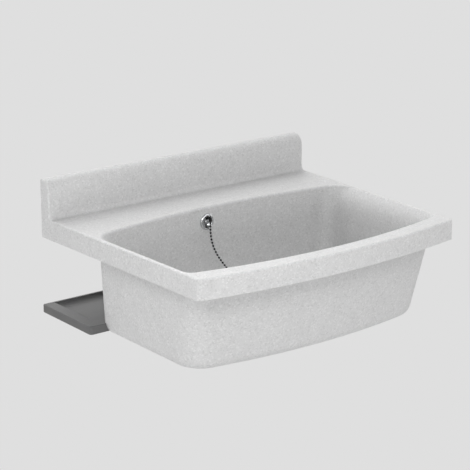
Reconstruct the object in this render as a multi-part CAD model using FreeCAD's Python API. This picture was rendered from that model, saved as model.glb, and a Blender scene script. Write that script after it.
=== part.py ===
import FreeCAD, Part
import math
import os
from FreeCAD import Vector

# Wall-hung utility sink in millimetres.
# The wall is the plane y = 0, the deck's top is z = 0, the middle is x = 0 and the front faces -y.

# Rim, deck and splash-back
sink_width = 600.0
side_taper = 10.5
corner_depth = 472.0
front_bow = 28.0
rim_height = 38.0
skirt_wall = 8.0
deck_wall = 10.0
rear_flange = 10.0
front_corner_radius = 8.0
skirt_corner_radius = 3.0
edge_radius = 4.0
splash_height = 72.5
splash_thickness = 28.0
splash_front_roll = 23.5
splash_back_roll = 4.0
splash_cove = 10.0
splash_skin = 9.0
splash_pocket_count = 9
splash_rib = 8.0
splash_foot = 12.0

# Bowl: outside form, then the walls between it and the inside
side_overhang = 24.5
basin_side_lean = 10.5
basin_depth = 192.0
front_overhang = 23.0
basin_front_lean = 37.0
basin_front_bow = 29.5
basin_rear = 116.0
basin_rear_bow = 27.0
basin_rim_corner = 28.0
basin_foot_corner = 62.0
basin_rear_corner = 25.0
basin_foot_radius = 24.0
basin_wall = 10.0
basin_side_wall = 12.0
basin_rear_wall = 16.0
basin_floor = 10.0
bowl_rim_corner = 14.0
bowl_foot_corner = 50.0
bowl_rear_corner = 30.0
bowl_foot_radius = 18.0
opening_rear_corner = 40.0
opening_roll = 5.0
rim_land = 7.0
sweep_depth = 70.0
sweep_power = 4
sweep_steps = 7
side_fill_depth = 30.0

# Wall fixing of the sink
hanger_spacing = 280.0
hanger_drop = 34.0
hanger_bolt_radius = 5.0
hanger_thread_radius = 4.8
hanger_wall_length = 60.0
hanger_bolt_tail = 6.0
hanger_lug_width = 44.0
hanger_lug_thickness = 14.0
hanger_lug_margin = 5.0
bush_wall = 1.8
bush_flange_radius = 11.0
bush_flange = 2.0
hanger_washer_radius = 15.0
hanger_washer_thickness = 2.5
hanger_nut_flats = 17.0
hanger_nut_height = 8.0

# Console tray behind the bowl's foot
tray_depth = 160.0
tray_lift = 22.5
tray_height = 15.5
tray_recess_depth = 10.0
tray_end_border = 22.0
tray_back_border = 4.0
tray_front_border = 38.0
tray_draft = 6.0
tray_lip = 8.0
tray_corner_radius = 6.0
tray_edge_radius = 2.0
tray_clearance = 0.3
console_screw_spacing = 240.0
console_screw_inset = 4.0
console_screw_radius = 2.25
console_neck_radius = 2.0
console_screw_wall_length = 45.0
console_head_radius = 3.8
console_head_height = 3.0

# Overflow
overflow_x = -19.2
overflow_drop = 29.2
overflow_hole_radius = 12.0
seat_flat = 0.5
rear_seat_flat = 1.0
rosette_radius = 15.5
rosette_height = 3.4
rosette_edge = 1.4
rosette_bead_radius = 13.2
rosette_bead_flat = 1.0
rosette_bead_height = 2.6
rosette_valley_height = 1.4
rosette_dome_radius = 8.6
rosette_dome_crown = 5.4
rosette_dome_edge = 2.2
rosette_dome_shoulder = 3.0
rosette_hole_radius = 1.5
rosette_hole_circle = 10.8
rosette_hole_count = 8
overflow_screw_radius = 2.0
overflow_screw_length = 16.0
overflow_head_radius = 4.0
overflow_head_height = 0.8
overflow_seal = 2.0
overflow_flange_radius = 18.5
overflow_flange = 3.0
overflow_standoff = 24.0
overflow_barrel_radius = 15.0
overflow_bore_radius = 9.0
overflow_socket_drop = 29.5
socket_stop = 15.0
overflow_bar = 3.0
overflow_bar_offset = 10.0
pipe_radius = 12.5
pipe_wall = 2.0
pipe_bend_radius = 38.0
pipe_notch_gap = 6.0
pipe_nut_wall = 3.5
pipe_nut_cover = 6.0
pipe_nut_lip = 3.0
pipe_nut_sides = 8
pipe_seal = 3.0

# Waste
drain_y = -282.0
drain_hole_radius = 26.5
drain_recess_gap = 1.0
waste_flange_radius = 38.0
waste_flange_thickness = 1.5
waste_gasket = 1.5
waste_gasket_inset = 1.0
waste_cup_radius = 25.0
waste_cup_depth = 20.0
waste_grid = 2.0
seat_top_radius = 24.5
seat_throat_radius = 21.5
seat_depth = 11.0
grid_hole_radius = 4.0
grid_hole_circle = 13.0
grid_hole_count = 6
waste_bottom_gasket = 3.0
waste_body_flange_radius = 40.0
waste_body_flange = 3.0
waste_barrel_radius = 30.0
waste_chamber_radius = 26.0
waste_body_height = 33.0
waste_body_floor = 2.0
outlet_radius = 23.9
outlet_bore_radius = 20.0
outlet_length = 15.0
inlet_gap = 20.0
inlet_reach = 54.0
waste_screw_radius = 2.9
waste_screw_length = 18.0
waste_head_radius = 5.5
waste_head_height = 2.5
boss_radius = 5.5
boss_gap = 8.0
boss_height = 9.0
boss_arm = 4.0
boss_arm_count = 3

# Plug and chain
plug_clearance = 0.3
plug_brim_radius = 27.0
plug_brim = 3.5
plug_cone_depth = 9.0
plug_cap_radius = 24.0
plug_cap_height = 2.5
plug_cap_edge = 1.0
plug_cap_crown = 18.0
plug_bolt_radius = 3.0
plug_collar_radius = 5.0
plug_collar_height = 3.0
plug_washer_radius = 9.0
plug_washer_thickness = 1.5
plug_nut_flats = 10.0
plug_nut_height = 4.0
plug_bolt_tail = 0.5
plug_ring_radius = 9.0
plug_ring_wire = 1.5
stay_x = 3.6
stay_z = 12.2
stay_reach = 7.4
stay_ring_radius = 3.2
stay_wire = 1.0
stay_boss_radius = 2.0
coupling_radius = 3.0
coupling_length = 11.0
chain_radius = 2.25
chain_end_reach = 16.2
chain_end_rise = 6.9
chain_end_side = 0.9
# Points of the chain between its couplings, as shares of the way in x, y and z
chain_shares = [
    (0.000, 0.000, 0.000),
    (0.010, -0.003, 0.160),
    (0.050, 0.037, 0.329),
    (0.160, 0.147, 0.488),
    (0.345, 0.328, 0.617),
    (0.570, 0.549, 0.760),
    (0.795, 0.773, 0.889),
    (1.000, 1.000, 1.000),
]

# Shared clearances
fit_gap = 0.1
screw_gap = 0.3
head_crown = 0.7
cut_margin = 20.0

# Places that several pieces share
UP = Vector(0, 0, 1)
FORWARD = Vector(0, -1, 0)
basin_half_width = sink_width / 2 - side_overhang
basin_front = corner_depth + front_bow - front_overhang
bowl_walls = (basin_side_wall, basin_wall, basin_rear_wall)
floor_z = basin_floor - basin_depth
rosette_seat = basin_rear + basin_rear_wall - seat_flat
gasket_seat = basin_rear + rear_seat_flat
elbow_face = gasket_seat - overflow_seal
socket_end_z = -overflow_drop - overflow_socket_drop
waste_body_top = -basin_depth - waste_bottom_gasket
cup_bottom = floor_z - waste_cup_depth
grid_top = cup_bottom + waste_grid
brim_bottom = floor_z + plug_clearance
brim_top = brim_bottom + plug_brim
cap_top = brim_top + plug_cap_height
cone_bottom = brim_bottom - plug_cone_depth
overflow_axis_depth = basin_rear - overflow_standoff
tray_top = basin_depth - tray_lift
console_screw_drop = tray_top + console_screw_inset
pipe_run = Vector(overflow_x, -overflow_axis_depth - drain_y, 0)
pipe_direction = Vector(pipe_run).normalize()
inlet_z = -basin_depth - inlet_gap
plug_ring_z = cap_top + plug_collar_height + plug_ring_radius
clip_reach = coupling_length - coupling_radius
chain_start = Vector(overflow_x + stay_x, -rosette_seat - stay_reach,
                     stay_z - overflow_drop - stay_ring_radius - clip_reach)
chain_end = Vector(-chain_end_side, drain_y + chain_end_reach, plug_ring_z + chain_end_rise)
chain_way = chain_end - chain_start
chain_route = [chain_start + Vector(chain_way.x * kx, chain_way.y * ky, chain_way.z * kz)
               for kx, ky, kz in chain_shares]


def line(start, end):
    """Straight edge between two points."""
    return Part.LineSegment(start, end).toShape()


def arc(start, middle, end):
    """Circular edge through three points."""
    return Part.Arc(start, middle, end).toShape()


def rod(radius, length, base, axis=UP):
    """Cylinder that starts at base and runs along axis."""
    return Part.makeCylinder(radius, length, base, axis)


def ring(outer, inner, length, base, axis=UP):
    """Tube that starts at base and runs along axis."""
    return rod(outer, length, base, axis).cut(rod(inner, length, base, axis))


def turned(profile, x=0.0, y=0.0):
    """Solid turned about the upright axis through x, y from (radius, height) points."""
    points = [Vector(radius, 0, height) for radius, height in profile]
    face = Part.Face(Part.makePolygon(points + points[:1]))
    solid = face.revolve(Vector(0, 0, 0), UP, 360)
    solid.translate(Vector(x, y, 0))
    return solid


def turned_forward(profile, x, z):
    """Solid turned about an axis square to the wall, from (radius, distance from the wall) points."""
    solid = turned(profile)
    solid.rotate(Vector(0, 0, 0), Vector(1, 0, 0), 90)
    solid.translate(Vector(x, 0, z))
    return solid


def prism_nut(flats, sides, length, base, axis=UP):
    """Regular prism with the given width across flats, along axis."""
    corner = flats / 2 / math.cos(math.pi / sides)
    points = []
    for k in range(sides):
        angle = 2 * math.pi * (k + 0.5) / sides
        points.append(Vector(corner * math.cos(angle), corner * math.sin(angle), 0))
    solid = Part.Face(Part.makePolygon(points + points[:1])).extrude(UP * length)
    solid.Placement = FreeCAD.Placement(base, FreeCAD.Rotation(UP, axis))
    return solid


def upright(edge):
    """True for a corner edge that climbs from the bottom of a form to its top."""
    box = edge.BoundBox
    return box.ZLength > max(box.XLength, box.YLength)


def mirrored_pair(solid):
    """The solid and its mirror image across the middle plane, as one group."""
    return Part.makeCompound([solid, solid.mirror(Vector(0, 0, 0), Vector(1, 0, 0))])


def half_width(depth):
    """Half of the rim's width at a distance from the wall."""
    return sink_width / 2 - side_taper * depth / corner_depth


def plan_prism(inset, rear, bottom, top, corner_radius):
    """Upright prism on the rim's plan: tapered sides and a bowed front, drawn in by inset."""
    back = half_width(rear) - inset
    front = half_width(corner_depth) - inset
    corner = corner_depth - inset
    a = Vector(-back, -rear, bottom)
    b = Vector(-front, -corner, bottom)
    nose = Vector(0, -corner - front_bow, bottom)
    c = Vector(front, -corner, bottom)
    d = Vector(back, -rear, bottom)
    outline = Part.Wire([line(a, b), arc(b, nose, c), line(c, d), line(d, a)])
    prism = Part.Face(outline).extrude(UP * (top - bottom))
    middle = -(rear + corner) / 2
    corners = [e for e in prism.Edges if upright(e) and e.CenterOfMass.y < middle]
    return prism.makeFillet(corner_radius, corners)


def deck_and_splash():
    """Deck slab with the coved, rolled splash-back, as one profile carried along x."""
    t = splash_thickness
    s = splash_height
    turn = math.sqrt(0.5)
    start = -half_width(0) - cut_margin

    def at(depth, height):
        return Vector(start, -depth, height)

    reach = corner_depth + front_bow + cut_margin
    low = -rim_height
    back = splash_back_roll
    roll = splash_front_roll
    cove = splash_cove
    edges = [
        line(at(0, low), at(0, s - back)),
        arc(at(0, s - back), at(back * (1 - turn), s - back * (1 - turn)), at(back, s)),
        line(at(back, s), at(t - roll, s)),
        arc(at(t - roll, s), at(t - roll * (1 - turn), s - roll * (1 - turn)), at(t, s - roll)),
        line(at(t, s - roll), at(t, cove)),
        arc(at(t, cove), at(t + cove * (1 - turn), cove * (1 - turn)), at(t + cove, 0)),
        line(at(t + cove, 0), at(reach, 0)),
        line(at(reach, 0), at(reach, low)),
        line(at(reach, low), at(0, low)),
    ]
    return Part.Face(Part.Wire(edges)).extrude(Vector(-2 * start, 0, 0))


def outer_top_edges(shell):
    """Edges where the top skin meets the rim's sides, its front and the splash-back's ends."""
    found = []
    for edge in shell.Edges:
        point = edge.valueAt((edge.FirstParameter + edge.LastParameter) / 2)
        depth = -point.y
        on_side = abs(abs(point.x) - half_width(depth)) < 0.01
        on_front = depth > corner_depth - front_corner_radius
        if point.z > -0.5 and depth > 0.5 and (on_side or on_front):
            found.append(edge)
    return found


def bowl_outline(z, walls, rim_corner, foot_corner, rear_corner, share=0.0):
    """Closed outline of the bowl at height z, drawn in from the outside form by three walls.

    The front corners go from the rim's radius to the foot's on the way down. A share of 1
    moves the sides from the bowl's wall out to the land that stays of the rim's top.
    """
    side, front, rear = walls
    k = -z / basin_depth
    half = basin_half_width - basin_side_lean * k - side
    front_corner = rim_corner + (foot_corner - rim_corner) * k
    front_sweep = (half ** 2 + basin_front_bow ** 2) / (2 * basin_front_bow)
    rear_sweep = (half ** 2 + basin_rear_bow ** 2) / (2 * basin_rear_bow)
    front_centre = front_sweep - basin_front + basin_front_lean * k + front
    rear_centre = -basin_rear - rear - rear_sweep
    reach = half + share * (sink_width / 2 - rim_land - half)
    taper = share * side_taper / corner_depth
    slant = math.hypot(1, taper)

    def corner(sweep, centre, radius, way):
        """Arc of a corner, from the right side x = reach + taper * y to a bowed edge."""
        inner = reach - radius * slant
        b = taper * inner - centre
        c = inner ** 2 + centre ** 2 - (sweep - radius) ** 2
        y = (way * math.sqrt(b ** 2 - slant ** 2 * c) - b) / slant ** 2
        middle = Vector(inner + taper * y, y, z)
        to_side = Vector(1, -taper, 0) / slant
        to_edge = Vector(middle.x, y - centre, 0) / (sweep - radius)
        between = (to_side + to_edge).normalize()
        return [middle + direction * radius for direction in (to_side, between, to_edge)]

    def left(point):
        return Vector(-point.x, point.y, z)

    a, b, c = corner(front_sweep, front_centre, front_corner, -1)
    d, e, f = corner(rear_sweep, rear_centre, rear_corner, 1)
    nose = Vector(0, front_centre - front_sweep, z)
    back = Vector(0, rear_centre + rear_sweep, z)
    return Part.Wire([
        line(left(d), left(a)), arc(left(a), left(b), left(c)), arc(left(c), nose, c), arc(c, b, a),
        line(a, d), arc(d, e, f), arc(f, back, left(f)), arc(left(f), left(e), left(d)),
    ])


def bowl_form(top, bottom, walls, corners, foot_radius):
    """Solid between two bowl outlines, with a rounded foot."""
    outlines = [bowl_outline(z, walls, *corners) for z in (top, bottom)]
    form = Part.makeLoft(outlines, True, True)
    foot = [e for e in form.Edges if e.BoundBox.ZMax < bottom + 0.01]
    return form.makeFillet(foot_radius, foot)


def outside_bowl(top, gap):
    """The bowl's outside form, grown by a gap on its sides, front and rear."""
    corners = [radius + gap for radius in (basin_rim_corner, basin_foot_corner, basin_rear_corner)]
    return bowl_form(top, -basin_depth, (-gap, -gap, -gap), corners, basin_foot_radius)


def swept_outline(step):
    """Outline of the bowl's inside at a step of its sweep, from the opening down to the straight walls."""
    share = (1 - step / sweep_steps) ** sweep_power
    rear_corner = bowl_rear_corner + (opening_rear_corner - bowl_rear_corner) * share
    z = -sweep_depth * step / sweep_steps
    return bowl_outline(z, bowl_walls, bowl_rim_corner, bowl_foot_corner, rear_corner, share)


def bowl_hollow():
    """The bowl's inside: a straight lower part, and above it sides that sweep out to the rim's land."""
    outlines = [swept_outline(step) for step in range(sweep_steps + 1)]
    swept = Part.makeLoft(outlines, True, False)
    above = Part.Face(outlines[0]).extrude(UP * cut_margin)
    corners = (bowl_rim_corner, bowl_foot_corner, bowl_rear_corner)
    lower = bowl_form(-sweep_depth, floor_z, bowl_walls, corners, bowl_foot_radius)
    return swept.fuse([above, lower])


def side_fills():
    """Pair of solid stretches of the rim beside the bowl, which carry its swept sides."""
    inner = basin_half_width - basin_side_lean - basin_side_wall
    height = side_fill_depth - deck_wall / 2
    front = corner_depth + front_bow
    block = Part.makeBox(
        sink_width / 2 - inner, front - basin_rear - basin_rear_bow, height, Vector(inner, -front, -side_fill_depth))
    inside = plan_prism(skirt_wall / 2, rear_flange, -side_fill_depth, -deck_wall / 2, skirt_corner_radius)
    return mirrored_pair(block).common(inside)


def rolled_opening(body):
    """Rounds the edge where the bowl's opening meets the deck and the rim."""
    opening = swept_outline(0)

    def on_opening(edge):
        middle = edge.valueAt((edge.FirstParameter + edge.LastParameter) / 2)
        return opening.distToShape(Part.Vertex(middle))[0] < 0.01

    return body.makeFillet(opening_roll, [e for e in body.Edges if on_opening(e)])


def splash_pockets():
    """Row of pockets behind the splash-back, with ribs between them."""
    pitch = (2 * half_width(0) - 2 * splash_skin + splash_rib) / splash_pocket_count
    height = splash_height - splash_skin - splash_foot
    depth = splash_thickness - splash_skin
    pockets = []
    for k in range(splash_pocket_count):
        left = -half_width(0) + splash_skin + k * pitch
        pocket = Part.makeBox(pitch - splash_rib, depth, height, Vector(left, -depth, splash_foot))
        upper = [e for e in pocket.Edges
                 if e.BoundBox.ZMin > splash_foot + height / 2 and e.CenterOfMass.y < 0.01 - depth]
        pockets.append(pocket.makeFillet(splash_front_roll - splash_skin, upper))
    return pockets


def hanger_holes(radius, length):
    """Pair of rods along the hanger bolts' axes, from the wall forward."""
    base = Vector(hanger_spacing / 2, 0, -hanger_drop)
    return mirrored_pair(rod(radius, length, base, FORWARD))


def hanger_lugs():
    """Pair of thick lugs under the deck's back edge that the hanger bolts pass through."""
    height = hanger_drop + hanger_washer_radius + hanger_lug_margin - deck_wall / 2
    corner = Vector(
        hanger_spacing / 2 - hanger_lug_width / 2, -hanger_lug_thickness, -deck_wall / 2 - height)
    return mirrored_pair(Part.makeBox(hanger_lug_width, hanger_lug_thickness, height, corner))


def sink_bowl():
    """The one-piece moulding: splash-back, deck, rim skirt and bowl."""
    high = splash_height + cut_margin
    shell = deck_and_splash().common(plan_prism(0, 0, -rim_height, high, front_corner_radius))
    shell = shell.makeFillet(edge_radius, outer_top_edges(shell))
    cavity_low = -rim_height - cut_margin
    shell = shell.cut(plan_prism(skirt_wall, rear_flange, cavity_low, -deck_wall, skirt_corner_radius))
    shell = shell.cut(Part.makeCompound(splash_pockets()))
    body = shell.fuse([outside_bowl(-deck_wall / 2, 0)] + side_fills().Solids + hanger_lugs().Solids)
    body = rolled_opening(body.cut(bowl_hollow()).removeSplitter())
    recess_depth = waste_flange_thickness + waste_gasket
    recess_base = Vector(0, drain_y, floor_z - recess_depth)
    recess = rod(waste_flange_radius + drain_recess_gap, recess_depth, recess_base)
    hole = rod(drain_hole_radius, 3 * basin_floor, Vector(0, drain_y, -basin_depth - basin_floor))
    overflow = Vector(overflow_x, 0, -overflow_drop)
    through = rod(overflow_hole_radius, rosette_seat + cut_margin, overflow + FORWARD * elbow_face, FORWARD)
    front_flat = rod(rosette_radius + fit_gap, cut_margin, overflow + FORWARD * rosette_seat, FORWARD)
    rear_base = overflow + FORWARD * rear_flange
    rear_flat = rod(overflow_flange_radius + fit_gap, gasket_seat - rear_flange, rear_base, FORWARD)
    bolt_holes = hanger_holes(hanger_thread_radius + bush_wall + fit_gap, hanger_lug_thickness)
    return body.cut([recess, hole, through, front_flat, rear_flat] + bolt_holes.Solids)


def console_tray():
    """Shallow plastic tray on the wall whose front edge is cut out around the bowl's foot."""
    low = -tray_top - tray_height
    body = Part.makeBox(sink_width, tray_depth, tray_height, Vector(-sink_width / 2, -tray_depth, low))
    corners = [e for e in body.Edges if upright(e) and e.CenterOfMass.y < -tray_depth / 2]
    body = body.makeFillet(tray_corner_radius, corners)
    rims = [e for e in body.Edges if e.BoundBox.ZMin > -tray_top - 0.01 and e.BoundBox.YMin < -0.01]
    body = body.makeFillet(tray_edge_radius, rims)
    floor = -tray_top - tray_recess_depth

    def recess_outline(z, draft):
        half = sink_width / 2 - tray_end_border - draft
        back = -tray_back_border
        front = -tray_depth + tray_front_border + draft
        plan = [(-half, back), (-half, front), (half, front), (half, back)]
        points = [Vector(x, y, z) for x, y in plan]
        return Part.makePolygon(points + points[:1])

    recess = Part.makeLoft([recess_outline(floor, tray_draft), recess_outline(-tray_top, 0)], True, True)
    recess = recess.makeFillet(tray_edge_radius, [e for e in recess.Edges if e.BoundBox.ZMax < floor + 0.01])
    recess = recess.cut(outside_bowl(-deck_wall, tray_clearance + tray_lip))
    notch_radius = pipe_radius + pipe_notch_gap
    notch_low = low - cut_margin
    notch_height = tray_height + 2 * cut_margin
    notch = rod(notch_radius, notch_height, Vector(overflow_x, -overflow_axis_depth, notch_low))
    slot_corner = Vector(overflow_x - notch_radius, -overflow_axis_depth - tray_depth, notch_low)
    slot = Part.makeBox(2 * notch_radius, tray_depth, notch_height, slot_corner)
    hole_base = Vector(console_screw_spacing / 2, 0, -console_screw_drop)
    hole = rod(console_screw_radius + screw_gap, tray_back_border + cut_margin, hole_base, FORWARD)
    holes = mirrored_pair(hole)
    return body.cut([recess, outside_bowl(-deck_wall, tray_clearance), notch, slot] + holes.Solids)


def console_screws():
    """Two pan-head screws that pass through the tray's back wall into the building."""
    tip = Vector(console_screw_spacing / 2, console_screw_wall_length, -console_screw_drop)
    thread = rod(console_screw_radius, console_screw_wall_length, tip, FORWARD)
    neck = rod(console_neck_radius, console_screw_wall_length + tray_back_border, tip, FORWARD)
    seat = Vector(console_screw_spacing / 2, -tray_back_border, -console_screw_drop)
    head = rod(console_head_radius, console_head_height, seat, FORWARD)
    crown = [e for e in head.Edges if e.BoundBox.YMax < -tray_back_border - console_head_height / 2]
    return mirrored_pair(thread.fuse([neck, head.makeFillet(console_head_height / 2, crown)]))


def hanger_set():
    """Bolts, bushes, washers and nuts that hold the sink to the wall, each as a pair."""
    x = hanger_spacing / 2
    z = -hanger_drop
    washer_face = hanger_lug_thickness + bush_flange
    nut_face = washer_face + hanger_washer_thickness
    bolt_length = hanger_wall_length + nut_face + hanger_nut_height + hanger_bolt_tail
    tip = Vector(x, hanger_wall_length, z)
    bolt = rod(hanger_bolt_radius, hanger_wall_length, tip, FORWARD)
    bolt = bolt.fuse(rod(hanger_thread_radius, bolt_length, tip, FORWARD))
    bore = hanger_thread_radius + fit_gap
    sleeve = hanger_thread_radius + bush_wall
    bush = turned_forward([
        (bore, 0), (sleeve, 0), (sleeve, hanger_lug_thickness), (bush_flange_radius, hanger_lug_thickness),
        (bush_flange_radius, washer_face), (bore, washer_face)], x, z)
    washer = ring(hanger_washer_radius, bore, hanger_washer_thickness, Vector(x, -washer_face, z), FORWARD)
    nut = prism_nut(hanger_nut_flats, 6, hanger_nut_height, Vector(x, -nut_face, z), FORWARD)
    nut = nut.cut(rod(bore, hanger_nut_height, Vector(x, -nut_face, z), FORWARD))
    return {
        "hanger_bolts": mirrored_pair(bolt),
        "hanger_bushes": mirrored_pair(bush),
        "hanger_washers": mirrored_pair(washer),
        "hanger_nuts": mirrored_pair(nut),
    }


def stay_centre():
    """Centre of the small ring on the rosette that holds the chain."""
    return Vector(overflow_x + stay_x, -rosette_seat - stay_reach, -overflow_drop + stay_z)


def ring_wire(centre, radius, wire):
    """Upright wire ring in the plane square to x."""
    return Part.makeTorus(radius, wire, centre, Vector(1, 0, 0))


def overflow_rosette():
    """Pressed rosette: outer bead, valley with drain holes, domed middle and the chain's stay."""
    bore = overflow_screw_radius + fit_gap
    low = rosette_seat
    face = [
        (bore, low), (rosette_radius, low), (rosette_radius, low + rosette_edge),
        (rosette_bead_radius + rosette_bead_flat, low + rosette_bead_height),
        (rosette_bead_radius - rosette_bead_flat, low + rosette_bead_height),
        (rosette_hole_circle, low + rosette_valley_height), (rosette_dome_radius, low + rosette_dome_edge),
        (rosette_dome_crown, low + rosette_dome_shoulder), (bore, low + rosette_height)]
    plate = turned_forward(face, overflow_x, -overflow_drop)
    holes = []
    for k in range(rosette_hole_count):
        angle = math.atan2(stay_z, stay_x) + 2 * math.pi * (k + 0.5) / rosette_hole_count
        x = overflow_x + rosette_hole_circle * math.cos(angle)
        z = -overflow_drop + rosette_hole_circle * math.sin(angle)
        holes.append(rod(rosette_hole_radius, rosette_height, Vector(x, -low, z), FORWARD))
    stay = stay_centre()
    boss = rod(stay_boss_radius, stay_reach - stay_ring_radius, Vector(stay.x, -low, stay.z), FORWARD)
    return plate.cut(holes).fuse([boss, ring_wire(stay, stay_ring_radius, stay_wire)])


def overflow_screw():
    """Screw through the rosette's middle into the elbow's bar."""
    top = rosette_seat + rosette_height
    return turned_forward([
        (0, top - overflow_screw_length), (overflow_screw_radius, top - overflow_screw_length),
        (overflow_screw_radius, top), (overflow_head_radius, top),
        (overflow_head_radius * head_crown, top + overflow_head_height), (0, top + overflow_head_height)],
        overflow_x, -overflow_drop)


def overflow_gasket():
    """Rubber ring between the bowl's back and the elbow's flange."""
    base = Vector(overflow_x, -elbow_face, -overflow_drop)
    return ring(overflow_flange_radius, overflow_hole_radius, overflow_seal, base, FORWARD)


def overflow_elbow():
    """Elbow behind the bowl: spigot through the wall, flange, barrel and a socket for the pipe."""
    centre = Vector(overflow_x, -overflow_axis_depth, -overflow_drop)
    spigot_length = rosette_seat - overflow_axis_depth
    down = Vector(0, 0, -1)
    flange_base = Vector(overflow_x, -elbow_face + overflow_flange, -overflow_drop)
    body = rod(overflow_hole_radius - screw_gap, spigot_length, centre, FORWARD)
    body = body.fuse([
        rod(overflow_flange_radius, overflow_flange, flange_base, FORWARD),
        rod(overflow_barrel_radius, elbow_face - overflow_axis_depth, centre, FORWARD),
        rod(overflow_barrel_radius, overflow_socket_drop, centre, down),
        Part.makeSphere(overflow_barrel_radius, centre)])
    body = body.cut([
        rod(overflow_bore_radius, spigot_length, centre, FORWARD),
        Part.makeSphere(overflow_bore_radius, centre),
        rod(overflow_bore_radius, overflow_socket_drop, centre, down),
        rod(pipe_radius + fit_gap, overflow_socket_drop, centre + down * socket_stop, down)])
    bar_start = rosette_seat - overflow_bar_offset - overflow_bar
    bar_corner = Vector(
        overflow_x - overflow_bore_radius, -bar_start - overflow_bar, -overflow_drop - overflow_bar)
    bar = Part.makeBox(2 * overflow_bore_radius, overflow_bar, 2 * overflow_bar, bar_corner)
    pilot = rod(overflow_screw_radius + fit_gap, spigot_length, centre, FORWARD)
    return body.fuse(bar.cut(pilot))


def pipe_path():
    """Overflow pipe's centre line: down from the elbow, one bend and level to the waste."""
    top = Vector(overflow_x, -overflow_axis_depth, -overflow_drop - socket_stop)
    corner = Vector(overflow_x, -overflow_axis_depth, inlet_z)
    waste = Vector(0, drain_y, inlet_z)
    inward = Vector(pipe_direction) * -1
    bend_start = corner + UP * pipe_bend_radius
    bend_end = corner + inward * pipe_bend_radius
    centre = bend_start + inward * pipe_bend_radius
    middle = centre + (Vector(pipe_direction) - UP) * (pipe_bend_radius * math.sqrt(0.5))
    end = waste + pipe_direction * (inlet_reach - socket_stop)
    return Part.Wire([line(top, bend_start), arc(bend_start, middle, bend_end), line(bend_end, end)])


def overflow_pipe():
    """Rigid pipe from the overflow's elbow to the waste, with its bore."""
    path = pipe_path()
    start = path.OrderedVertexes[0].Point

    def sweep(radius):
        circle = Part.Wire([Part.makeCircle(radius, start, UP)])
        return path.makePipeShell([circle], True, False)

    return sweep(pipe_radius).cut(sweep(pipe_radius - pipe_wall))


def pipe_joint(mouth, axis):
    """Union nut and seal at a socket's mouth, where axis points out of the socket."""
    socket = overflow_barrel_radius
    flats = 2 * (socket + fit_gap + pipe_nut_wall)
    length = pipe_nut_cover + pipe_seal + pipe_nut_lip
    base = mouth - axis * pipe_nut_cover
    nut = prism_nut(flats, pipe_nut_sides, length, base, axis)
    nut = nut.cut([
        rod(socket + fit_gap, pipe_nut_cover + pipe_seal, base, axis),
        rod(pipe_radius + fit_gap, length, base, axis)])
    return nut, ring(socket, pipe_radius + fit_gap / 2, pipe_seal, mouth, axis)


def waste_flange():
    """Steel flange in the floor's recess, with the plug's seat, a cup and a strainer grid."""
    thickness = waste_flange_thickness
    cup = turned([
        (waste_flange_radius, floor_z), (waste_flange_radius, floor_z - thickness),
        (waste_cup_radius, floor_z - thickness), (waste_cup_radius, cup_bottom),
        (0, cup_bottom), (0, grid_top),
        (seat_throat_radius, grid_top), (seat_throat_radius, floor_z - seat_depth),
        (seat_top_radius, floor_z)], 0, drain_y)
    holes = [rod(waste_screw_radius + fit_gap, waste_grid, Vector(0, drain_y, cup_bottom))]
    for k in range(grid_hole_count):
        angle = 2 * math.pi * k / grid_hole_count
        x = grid_hole_circle * math.cos(angle)
        y = drain_y + grid_hole_circle * math.sin(angle)
        holes.append(rod(grid_hole_radius, waste_grid, Vector(x, y, cup_bottom)))
    return cup.cut(holes)


def waste_gaskets():
    """Rubber rings above and below the floor, around the drain hole."""
    outer = waste_flange_radius - waste_gasket_inset
    top_base = Vector(0, drain_y, floor_z - waste_flange_thickness - waste_gasket)
    low_base = Vector(0, drain_y, waste_body_top)
    return {
        "waste_top_gasket": ring(outer, drain_hole_radius, waste_gasket, top_base),
        "waste_bottom_gasket": ring(outer, drain_hole_radius, waste_bottom_gasket, low_base),
    }


def waste_body():
    """Plastic body under the bowl: flange, chamber, screw boss, pipe inlet and threaded outlet."""
    top = waste_body_top
    bottom = top - waste_body_height
    end = bottom - outlet_length
    body = turned([
        (waste_chamber_radius, top), (waste_body_flange_radius, top),
        (waste_body_flange_radius, top - waste_body_flange), (waste_barrel_radius, top - waste_body_flange),
        (waste_barrel_radius, bottom), (outlet_radius, bottom), (outlet_radius, end),
        (outlet_bore_radius, end), (outlet_bore_radius, bottom + waste_body_floor),
        (waste_chamber_radius, bottom + waste_body_floor)],
        0, drain_y)
    axis_point = Vector(0, drain_y, inlet_z)
    inner = waste_chamber_radius + waste_body_floor
    body = body.fuse(rod(overflow_barrel_radius, inlet_reach - inner, axis_point + pipe_direction * inner,
                         pipe_direction))
    seat = inlet_reach - socket_stop
    body = body.cut([
        rod(pipe_radius - pipe_wall, inlet_reach, axis_point, pipe_direction),
        rod(pipe_radius + fit_gap, socket_stop, axis_point + pipe_direction * seat, pipe_direction)])
    boss_top = cup_bottom - boss_gap
    base = Vector(0, drain_y, boss_top - boss_height)
    arms = []
    for k in range(boss_arm_count):
        arm = Part.makeBox(waste_barrel_radius - fit_gap, boss_arm, boss_height / 2,
                           base + Vector(0, -boss_arm / 2, 0))
        arm.rotate(base, UP, math.degrees(math.atan2(-pipe_direction.y, -pipe_direction.x))
                   + 360 * k / boss_arm_count)
        arms.append(arm)
    boss = rod(boss_radius, boss_height, base).fuse(arms)
    return body.fuse(boss.cut(rod(waste_screw_radius + fit_gap, boss_height, base)))


def waste_screw():
    """Screw that draws the flange and the body together through the floor."""
    return turned([
        (0, grid_top - waste_screw_length), (waste_screw_radius, grid_top - waste_screw_length),
        (waste_screw_radius, grid_top), (waste_head_radius, grid_top),
        (waste_head_radius * head_crown, grid_top + waste_head_height), (0, grid_top + waste_head_height)],
        0, drain_y)


def seat_radius(z):
    """Radius of the plug's seat in the flange at height z."""
    k = (floor_z - z) / seat_depth
    return seat_top_radius + (seat_throat_radius - seat_top_radius) * k


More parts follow.
